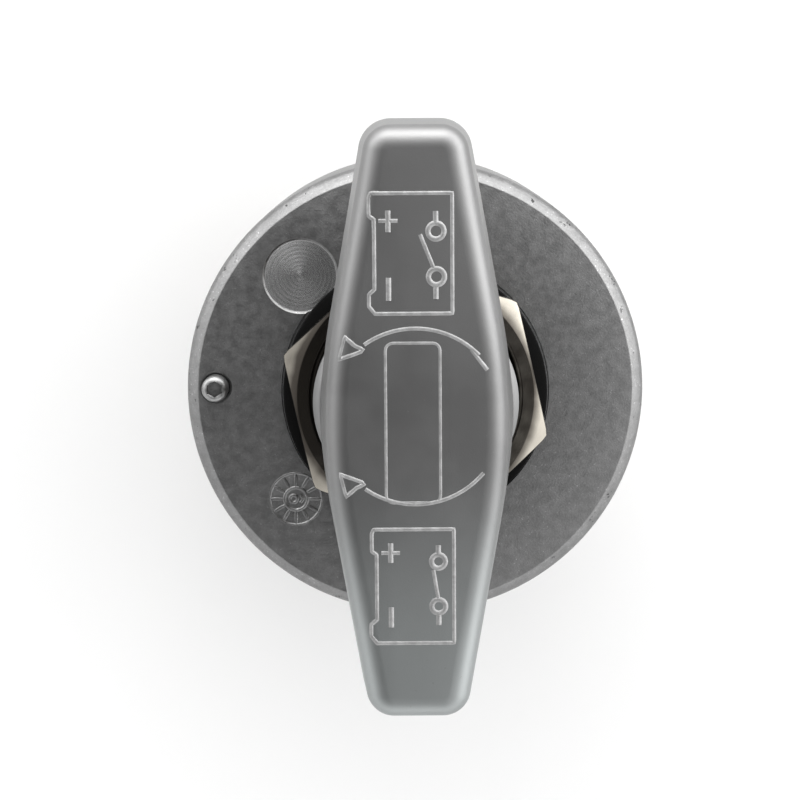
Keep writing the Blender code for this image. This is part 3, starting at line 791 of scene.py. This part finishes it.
def centrePanel():
    # blank name field with rounded corners
    left, right, top, bottom, corner = -4.27, 3.1, 11.47, -10.34, 1.0
    points = []
    for x, y, start in ((right - corner, top - corner, 0.0), (left + corner, top - corner, 90.0),
                        (left + corner, bottom + corner, 180.0), (right - corner, bottom + corner, 270.0)):
        for step in range(5):
            angle = math.radians(start + 90.0 * step / 4.0)
            points.append((x + corner * math.cos(angle), y + corner * math.sin(angle)))
    return straight(points, closed=True)


def thickPaths():
    # upright strokes of the signs and of the switch's leads, then the switch's round contacts
    strokes = [(-3.81, 29.3, 26.4), (-3.78, 20.3, 17.2), (-3.74, -15.9, -18.6), (-3.70, -24.8, -27.6),
               (2.58, 27.7, 29.2), (2.58, 19.0, 17.4), (2.75, -17.4, -16.2), (2.8, -25.9, -27.3)]
    rounds = [(2.62, 26.52, 1.08), (2.67, 20.41, 1.08), (2.77, -18.45, 0.95), (2.79, -24.69, 0.95)]
    paths = [straight([(x, first), (x, last)]) for x, first, last in strokes[:4]]
    paths += [arcLine(x, y, radius, 0.0, 360.0, True) for x, y, radius in rounds]
    return paths + [straight([(x, first), (x, last)]) for x, first, last in strokes[4:]]


def addRelief(name, paths, width, height, unevenness, body, material):
    values = {"Width": width * mm, "Height": height * mm, "Unevenness": unevenness, "Material": material}
    piece = grow(name, reliefTree, values, pathMesh(name, paths), 60.0)
    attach(piece, body)


for name, paths, width, share in (("leverSymbolLines", thinPaths(), symbols["lineWidth"], 0.8),
                                  ("leverNamePanel", [centrePanel()], symbols["panelWidth"], 0.55),
                                  ("leverSymbolSigns", thickPaths(), symbols["signWidth"], 1.1)):
    addRelief(name, paths, width, symbols["height"] * share, symbols["unevenness"], "lever", raisedMark)
say("lever symbols made")

rollPin = {"outer": 2.0, "inner": 1.25, "halfLength": 13.6}
pinEnd = rollPin["halfLength"]
pinProfile = washerProfile(rollPin["inner"], rollPin["outer"], pinEnd, -pinEnd, 0.25)
rollPinPiece = newPiece("rollPin", turnedMesh("rollPin", pinProfile, 48), darkSteel)
applyCuts(rollPinPiece, [(boxMesh("pinGap", (-0.3, 0.0, -15.0), (0.3, 3.0, 15.0)), "DIFFERENCE")])
rollPinPiece.data.transform(acrossHub)
shade(rollPinPiece, darkSteel)
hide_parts("handle_roll_pin")
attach(rollPinPiece, "lever")


housing = {
    "radius": 35.0, "faceRadius": 33.1, "bottom": -31.0, "cavity": 30.4, "cavityTop": -3.6,
    "neckRoot": 14.1, "neckTop": 11.0, "bore": 8.0, "seatRadius": 20.3, "seatDepth": 0.2,
    "peg": (-30.4, 0.7), "stamp": (-18.4, -16.65), "stampRadius": 4.15, "stampDepth": 0.14,
}


def housingProfile():
    d = housing
    profile = [(d["bore"], d["neckTop"] - 0.4), (d["bore"] + 0.4, d["neckTop"])]
    profile += [(d["neckRoot"] - 0.5, d["neckTop"])]
    profile += arcProfile(d["neckRoot"] - 0.5, d["neckTop"] - 0.5, 0.5, 75.0, 0.0, 3)
    profile += [(d["neckRoot"], -d["seatDepth"]), (d["seatRadius"], -d["seatDepth"])]
    profile += [(d["seatRadius"] + 0.1, 0.0)]
    profile += [(d["faceRadius"] - 0.12, 0.0), (d["faceRadius"], -0.04), (d["faceRadius"] + 0.12, -0.12)]
    slope = ((0.7, -1.05), (0.38, -1.5), (0.18, -2.0), (0.07, -2.7), (0.04, -3.6), (0.0, -16.0))
    profile += [(d["radius"] - inset, height) for inset, height in slope]
    profile += [(d["radius"], d["bottom"] + 0.7)]
    profile += arcProfile(d["radius"] - 0.6, d["bottom"] + 0.6, 0.6, -15.0, -90.0, 4)
    profile += [(d["cavity"], d["bottom"]), (d["cavity"], d["cavityTop"]), (d["bore"], d["cavityTop"])]
    return profile


def spotFaceCutter():
    # shallow cone with turning ridges; its wall leans a little
    d = spotFace
    profile = [(d["radius"] + 0.15, 2.0), (d["radius"] + 0.15, 0.0), (d["radius"], -0.1)]
    profile += [(d["radius"] - 0.12, -0.27)]
    count = 34
    for step in range(count):
        radius = (d["radius"] - 0.3) * (1.0 - step / count)
        ridge = 0.0010 * (step % 2) + 0.0014 * math.sin(step * 2.1)
        profile.append((radius, -0.30 - (d["depth"] - 0.30) * (1.0 - radius / d["radius"]) + ridge))
    return turnedMesh("spotFaceCutter", profile, 96, closed=False, centre=d["centre"])


housingBody = newPiece("housingBody", turnedMesh("housingBody", housingProfile(), 240), housingMetal)
stampEdge = housing["stampRadius"]
stampProfile = [(stampEdge + 0.1, 1.0), (stampEdge + 0.1, 0.02), (stampEdge, -0.1),
                (stampEdge - 0.1, -housing["stampDepth"])]
stampCutter = turnedMesh("stampCutter", stampProfile, 72, closed=False, centre=housing["stamp"])
pegCutter = turnedMesh("pegCutter", [(2.5, 1.0), (2.5, 0.01), (2.1, -0.35), (2.1, -3.0)], 48,
                       closed=False, centre=housing["peg"])
applyCuts(housingBody, [(cutter, "DIFFERENCE") for cutter in (spotFaceCutter(), stampCutter, pegCutter)])
shade(housingBody, housingMetal, 24.0)


def paintSpotFace(piece):
    # faces inside the spot face get the freshly cut finish
    piece.data.materials.append(turnedMetal)
    x, y = spotFace["centre"]
    limit = (spotFace["radius"] - 0.1) * mm
    for face in piece.data.polygons:
        inside = math.hypot(face.center.x - x * mm, face.center.y - y * mm) < limit
        clearOfSeat = math.hypot(face.center.x, face.center.y) > (housing["seatRadius"] - 1.6) * mm
        if inside and clearOfSeat and -1.5 * mm < face.center.z < -0.01 * mm:
            face.material_index = 1


paintSpotFace(housingBody)
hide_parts("housing")
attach(housingBody, "housing")

neckThread = {"Crest": 14.9 * mm, "Pitch": 1.5 * mm, "Turns": 6.0, "Bottom": 1.2 * mm, "Steps": 640,
              "Offset": 0.0, "Material": housingMetal}
neckThreadPiece = grow("neckThread", threadTree, neckThread, None, 30.0)
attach(neckThreadPiece, "housing")
say("housing made")

stamp = {"spokes": 12, "inner": 1.75, "outer": 4.05, "lineWidth": 0.56, "lineHeight": 0.15, "unevenness": 0.25,
         "spokeWidth": 0.6}


def stampPaths():
    # two rings, and a small ring with a chevron inside them, all on the stamp's floor
    x, y = housing["stamp"]
    lines = [arcLine(x, y, radius, 0.0, 360.0, True) for radius in (stamp["inner"], stamp["outer"])]
    lines.append(([(x + 0.70, y - 0.6, 0.0), (x + 1.15, y, 0.0), (x + 0.70, y + 0.6, 0.0)], False))
    lines.append(arcLine(x - 0.35, y, 0.58, 0.0, 360.0, True))
    floor = -housing["stampDepth"] + 0.03
    return [([(px, py, floor) for px, py, pz in points], closed) for points, closed in lines]


addRelief("dateStampRings", stampPaths(), stamp["lineWidth"], stamp["lineHeight"], stamp["unevenness"],
          "housing", housingMetal)
spokeValues = {"Count": stamp["spokes"], "Inner": (stamp["inner"] - 0.1) * mm,
               "Outer": (stamp["outer"] + 0.1) * mm, "Width": stamp["spokeWidth"] * mm,
               "Height": stamp["lineHeight"] * mm, "Material": housingMetal,
               "Centre": (housing["stamp"][0] * mm, housing["stamp"][1] * mm, -0.13 * mm)}
stampSpokes = grow("dateStampSpokes", spokeTree, spokeValues, None, 60.0)
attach(stampSpokes, "housing")
say("date stamp made")


def hexagonRadii(angles, flats):
    # distance from the middle of a hexagon to its edge, flats apart
    within = (angles + math.pi / 6.0) % (math.pi / 3.0) - math.pi / 6.0
    return flats / 2.0 / np.cos(within)


def nutMesh(name, size):
    # size: flats, top, bottom, bore, sink, chamfer, lowerChamfer, turn
    segments = 144
    angles = np.arange(segments) * 2.0 * math.pi / segments
    hexagon = hexagonRadii(angles, size["flats"])
    hexagon = np.minimum(hexagon, size["flats"] / math.sqrt(3.0) * 0.992)
    turn = math.radians(size["turn"])
    heading = np.stack([np.cos(angles + turn), np.sin(angles + turn)], axis=1)

    def ring(radius, height):
        radii = np.broadcast_to(radius, (segments,))
        heights = np.broadcast_to(height, (segments,))
        return np.column_stack([heading * radii[:, None], heights]) * mm

    slope = math.tan(math.radians(30.0))
    top, bottom, bore = size["top"], size["bottom"], size["bore"]
    upper = top - (hexagon - size["chamfer"]) * slope
    lower = bottom + (hexagon - size["lowerChamfer"]).clip(0.02) * slope
    rings = [
        ring(bore, bottom + 0.4), ring(bore, top - (size["sink"] - bore)),
        ring(size["sink"] - 0.06, top - 0.06), ring(size["sink"] + 0.06, top),
        ring(size["chamfer"] - 0.08, top),
        ring(size["chamfer"] + 0.08, top - 0.06), ring(hexagon - 0.07, upper + 0.05),
        ring(hexagon, upper - 0.08), ring(hexagon, lower + 0.08), ring(hexagon - 0.07, lower - 0.03),
        ring(size["lowerChamfer"] - 0.1, bottom), ring(bore + 0.4, bottom),
    ]
    return meshFromRings(name, rings, closed=True)


panelNut = {"flats": 36.0, "top": 7.6, "bottom": 2.7, "bore": 15.15, "sink": 16.0, "chamfer": 17.78,
            "lowerChamfer": 17.6, "turn": 12.6}
panelNutPiece = newPiece("panelNut", nutMesh("panelNut", panelNut), nutPlating, 20.0)
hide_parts("panel_nut")
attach(panelNutPiece, "housing")

gasket = {"inner": 15.3, "outer": 20.0, "top": 2.4, "bottom": 0.1}
gasketProfile = washerProfile(gasket["inner"], gasket["outer"], gasket["top"], gasket["bottom"], 0.4)
gasketPiece = newPiece("panelGasket", turnedMesh("panelGasket", gasketProfile, 160), blackRubber)
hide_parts("panel_gasket")
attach(gasketPiece, "housing")

peg = {"radius": 2.0, "top": 3.0, "bottom": -2.7, "socket": 2.1, "socketDepth": 1.6}


def pegMesh():
    segments = 72
    socket = hexagonRadii(np.arange(segments) * 2.0 * math.pi / segments, peg["socket"])
    profile = [(socket, peg["top"] - peg["socketDepth"]), (socket, peg["top"] - 0.15)]
    profile += [(socket + 0.12, peg["top"])]
    dome = ((1.24, 0.01), (1.44, 0.08), (1.68, 0.24), (1.88, 0.5), (peg["radius"], 0.85))
    profile += [(radius, peg["top"] - drop) for radius, drop in dome]
    profile += [(peg["radius"], peg["bottom"] + 0.4), (1.6, peg["bottom"])]
    return turnedMesh("locatingPeg", profile, segments, False, housing["peg"])


pegPiece = newPiece("locatingPeg", pegMesh(), pegPlating, 25.0)
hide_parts("locating_peg")
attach(pegPiece, "housing")
say("front fixings made")


base = {"radius": 34.6, "top": -31.8, "flangeTop": -32.6, "bottom": -40.0, "screwCircle": 26.5,
        "terminal": 15.0, "barrierBottom": -54.0}
reachToScrew = base["screwCircle"] / math.sqrt(2.0)
screwPlaces = [(sx * reachToScrew, sy * reachToScrew) for sx, sy in ((1, 1), (-1, 1), (-1, -1), (1, -1))]
terminalPlaces = [(-base["terminal"], 0.0), (base["terminal"], 0.0)]


def baseProfile():
    d = base
    profile = [(0.5, d["top"]), (30.0, d["top"]), (30.0, d["flangeTop"]), (d["radius"] - 0.3, d["flangeTop"])]
    profile += arcProfile(d["radius"] - 0.3, d["flangeTop"] - 0.3, 0.3, 60.0, 0.0, 2)
    groove = ((0.0, -34.4), (0.25, -34.7), (0.25, -35.1), (0.0, -35.4))
    profile += [(d["radius"] - inset, height) for inset, height in groove]
    profile += arcProfile(d["radius"] - 1.2, d["bottom"] + 1.2, 1.2, 0.0, -90.0, 5)
    profile += [(31.6, d["bottom"]), (31.3, d["bottom"] + 0.5), (30.4, d["bottom"] + 0.5), (30.1, d["bottom"])]
    profile += [(0.5, d["bottom"])]
    return profile


def makeBase():
    piece = newPiece("basePlate", turnedMesh("basePlate", baseProfile(), 180, closed=False), blackPhenolic)
    d = base
    cuts = [(boxMesh("barrier", (-2.0, -26.0, d["barrierBottom"]), (2.0, 26.0, -38.0), 0.7), "UNION")]
    collar = [(11.0, -38.5), (11.0, -40.9), (10.7, -41.2)]
    for place in terminalPlaces:
        cuts.append((turnedMesh("collar", collar, 80, False, place), "UNION"))
    for sy in (-1.0, 1.0):
        rib = boxMesh("rib", (-9.0, sy * 20.0 - 0.8, -42.0), (9.0, sy * 20.0 + 0.8, -38.5), 0.3)
        cuts.append((rib, "UNION"))
    for x, y in terminalPlaces:
        cuts.append((turnedMesh("studHole", [(5.2, -20.0), (5.2, -60.0)], 48, False, (x, y)), "DIFFERENCE"))
    for x, y in screwPlaces:
        cuts.append((turnedMesh("screwHole", [(2.0, -20.0), (2.0, -60.0)], 32, False, (x, y)), "DIFFERENCE"))
    applyCuts(piece, cuts)
    shade(piece, blackPhenolic, 28.0)
    return piece


basePiece = makeBase()
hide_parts("base_plate")
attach(basePiece, "housing")

sealMesh = turnedMesh("baseSeal", washerProfile(30.6, 34.2, -31.3, -32.3, 0.3), 160)
sealPiece = newPiece("baseSeal", sealMesh, blackRubber)
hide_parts("base_seal")
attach(sealPiece, "housing")


def screwMesh():
    # pan head below, shank up into the housing, cross recess in the head
    profile = [(1.1, -24.3), (1.65, -24.9), (1.65, -40.3), (3.6, -40.3), (3.7, -40.5)]
    profile += [(3.62, -41.3), (3.35, -41.9), (2.8, -42.3), (2.0, -42.5)]
    mesh = turnedMesh("screw", profile, 48, closed=False)
    piece = newPiece("screwBlank", mesh, nickel)
    cuts = [(boxMesh("slotA", (-2.1, -0.42, -44.0), (2.1, 0.42, -41.3), 0.12, 1), "DIFFERENCE"),
            (boxMesh("slotB", (-0.42, -2.1, -44.0), (0.42, 2.1, -41.3), 0.12, 1), "DIFFERENCE")]
    applyCuts(piece, cuts)
    made = piece.data
    bpy.data.objects.remove(piece)
    return made


screws = placeCopies("baseScrews", screwMesh(), screwPlaces, nickel)
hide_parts("base_screw_1", "base_screw_2", "base_screw_3", "base_screw_4")
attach(screws, "housing")


def bothSides(name, mesh, material, stem, sharpAngle=32.0):
    # one piece for both terminals, standing for the left and right CAD nodes
    piece = placeCopies(name, mesh, terminalPlaces, material, sharpAngle)
    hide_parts(stem + "_left", stem + "_right")
    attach(piece, "housing")


def springWasherMesh():
    # a split ring whose ends stand a little apart
    section = [(5.3, 1.1), (5.5, 1.25), (8.4, 1.25), (8.6, 1.1),
               (8.6, -1.0), (8.4, -1.15), (5.5, -1.15), (5.3, -1.0)]
    rings = []
    for step in range(97):
        share = step / 96.0
        angle = math.radians(96.0 + 348.0 * share)
        lift = -51.7 + 0.35 * (share - 0.5)
        ring = [(r * math.cos(angle), r * math.sin(angle), lift + z * 0.78) for r, z in section]
        rings.append(np.array(ring) * mm)
    return meshFromRings("springWasher", rings)


stud = {"root": 4.25, "crest": 4.87, "end": -64.0}
studProfile = [(7.3, -29.3), (7.5, -29.5), (7.5, -31.3), (7.3, -31.5), (4.85, -31.5), (4.85, -41.0),
               (stud["root"], -41.4), (stud["root"], stud["end"] + 0.5), (stud["root"] - 0.5, stud["end"])]
bothSides("terminalStuds", turnedMesh("stud", studProfile, 64, False), dullCopper, "terminal_stud")
for name, (x, y) in zip(("leftStudThread", "rightStudThread"), terminalPlaces):
    thread = {"Crest": stud["crest"] * mm, "Pitch": 1.5 * mm, "Turns": 14.6, "Bottom": -63.4 * mm, "Steps": 600,
              "Offset": x * mm, "Material": dullCopper}
    ridge = grow(name, threadTree, thread, None, 30.0)
    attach(ridge, "housing")
contactProfile = washerProfile(0.4, 5.5, -28.2, -29.0, 0.2)
bothSides("fixedContacts", turnedMesh("fixedContact", contactProfile, 48), contactSilver,
          "fixed_contact")
baseWasherProfile = washerProfile(5.2, 9.9, -41.5, -43.0, 0.2)
bothSides("baseWashers", turnedMesh("baseWasher", baseWasherProfile, 72), nickel, "base_washer")
studNut = {"flats": 16.0, "top": -43.3, "bottom": -48.3, "bore": 4.95, "sink": 5.5, "chamfer": 7.6,
           "lowerChamfer": 7.6, "turn": 0.0}
bothSides("studNuts", nutMesh("studNut", studNut), nickel, "stud_nut", 20.0)
washerOutline = washerProfile(5.2, 9.9, -48.6, -50.3, 0.2)
bothSides("plainWashers", turnedMesh("plainWasher", washerOutline, 72), nickel, "plain_washer")
bothSides("springWashers", springWasherMesh(), darkSteel, "spring_washer")
terminalNut = {**studNut, "top": -53.1, "bottom": -61.1, "turn": 10.0}
bothSides("terminalNuts", nutMesh("terminalNut", terminalNut), nickel, "terminal_nut", 20.0)
say("base and terminals made")


# the inner parts keep their CAD shape and only get a finish
innerFinish = {
    "shaft": brightSteel, "shaft_o_ring": blackRubber, "thrust_washer": plainBrass, "cam_pin": brightSteel,
    "contact_carrier": blackPhenolic, "contact_spring_washer": darkSteel, "contact_bridge": dullCopper,
    "bridge_contact_left": contactSilver, "bridge_contact_right": contactSilver, "bridge_clip": darkSteel,
}
for node, finish in innerFinish.items():
    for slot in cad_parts[node].material_slots:
        slot.material = finish


stage = {"floor": -64.5, "half": 900.0, "colour": 0.81}
view = {"distance": 350.0, "tiltDeg": 7.4, "aim": (-2.33, -1.43, 0.0), "lens": 103.2, "rollDeg": -0.37}


def wireFloor(g):
    tone = g.noise(120.0, 2.0)
    colour = g.mix(tone, grey(stage["colour"]), grey(stage["colour"] + 0.03))
    return {"Base Color": colour, "Roughness": 0.8}


def makeFloor():
    half = stage["half"]
    height = stage["floor"]
    corners = [(-half, -half), (half, -half), (half, half), (-half, half)]
    mesh = bpy.data.meshes.new("tableTop")
    mesh.from_pydata([(x * mm, y * mm, height * mm) for x, y in corners], [], [(0, 1, 2, 3)])
    floor = newPiece("tableTop", mesh, newMaterial("paleTable", wireFloor))


# brightness of the room from beside the object (0) to the dark spot behind the camera (1)
room = [(0.0, grey(3.3)), (0.26, grey(3.1)), (0.42, grey(2.2)), (0.57, grey(1.3)), (0.71, grey(0.85)),
        (0.87, grey(0.40)), (0.95, grey(0.20)), (0.985, grey(0.05)), (1.0, grey(0.01))]
darkSpot = (-0.139, -0.110, 0.984)
window = {"towards": (0.20, -0.36, 0.911), "strength": 0.9}
sideLight = {"towards": (0.2, 0.97), "dim": 0.56, "bright": 1.65}

softBoxes = [
    # name, azimuth from +X, elevation, distance, width, height, watts, colour
    ("keyBox", 20.0, 24.0, 700.0, 420.0, 200.0, 0.25, (1.0, 0.99, 0.96)),
    ("rearBox", 95.0, 22.0, 700.0, 520.0, 200.0, 1.4, (1.0, 1.0, 0.98)),
]


def addSoftBox(name, azimuth, elevation, distance, width, height, watts, colour):
    light = bpy.data.lights.new(name, "AREA")
    light.shape = "RECTANGLE"
    light.size = width * mm
    light.size_y = height * mm
    light.energy = watts
    light.color = colour
    lamp = addObject(name, light)
    a, e = math.radians(azimuth), math.radians(elevation)
    away = Vector((math.cos(a) * math.cos(e), math.sin(a) * math.cos(e), math.sin(e)))
    lamp.location = away * distance * mm
    lamp.rotation_euler = away.to_track_quat("Z", "Y").to_euler()


def addWorld():
    # bright walls round a dark ceiling
    world = bpy.data.worlds.new("studio")
    world.use_nodes = True
    g = Graph(world.node_tree)
    x = g.node("ShaderNodeSeparateXYZ", {}, {"Vector": g.node("ShaderNodeTexCoord")})
    y, z = x.other("Y"), x.other("Z")
    toSpot = x * darkSpot[0] + y * darkSpot[1] + z * darkSpot[2]
    ramp = g.node("ShaderNodeValToRGB", {"stops": room}, {"Fac": toSpot})
    background = world.node_tree.nodes["Background"]
    world.node_tree.links.new(ramp.socket, background.inputs["Color"])
    sideways = x * sideLight["towards"][0] + y * sideLight["towards"][1]
    side = sideways.spread(-0.4, 0.5, sideLight["dim"], sideLight["bright"])
    level = (side - 1.0) * (1.0 - z).least(1.0) + 1.0
    right, near, up = window["towards"]
    pane = (x * right + y * near + z * up).spread(0.94, 0.992, 0.0, window["strength"])
    level = level + pane / ramp.least(0.5).most(0.1)
    world.node_tree.links.new(level.socket, background.inputs["Strength"])
    bpy.context.scene.world = world


def addCamera():
    lens = bpy.data.cameras.new("frontCamera")
    lens.lens = view["lens"]
    lens.sensor_width = 36.0
    lens.clip_start = 0.01
    lens.clip_end = 10.0
    camera = addObject("frontCamera", lens)
    tilt = math.radians(view["tiltDeg"])
    aim = Vector(view["aim"]) * mm
    camera.location = aim + Vector((0.0, math.sin(tilt), math.cos(tilt))) * view["distance"] * mm
    turn = Matrix.Rotation(-tilt, 4, "X") @ Matrix.Rotation(math.radians(view["rollDeg"]), 4, "Z")
    camera.rotation_euler = turn.to_euler()
    bpy.context.scene.camera = camera


makeFloor()
for box in softBoxes:
    addSoftBox(*box)
addWorld()
addCamera()
bpy.context.scene.view_settings.view_transform = "Standard"
say("stage ready")
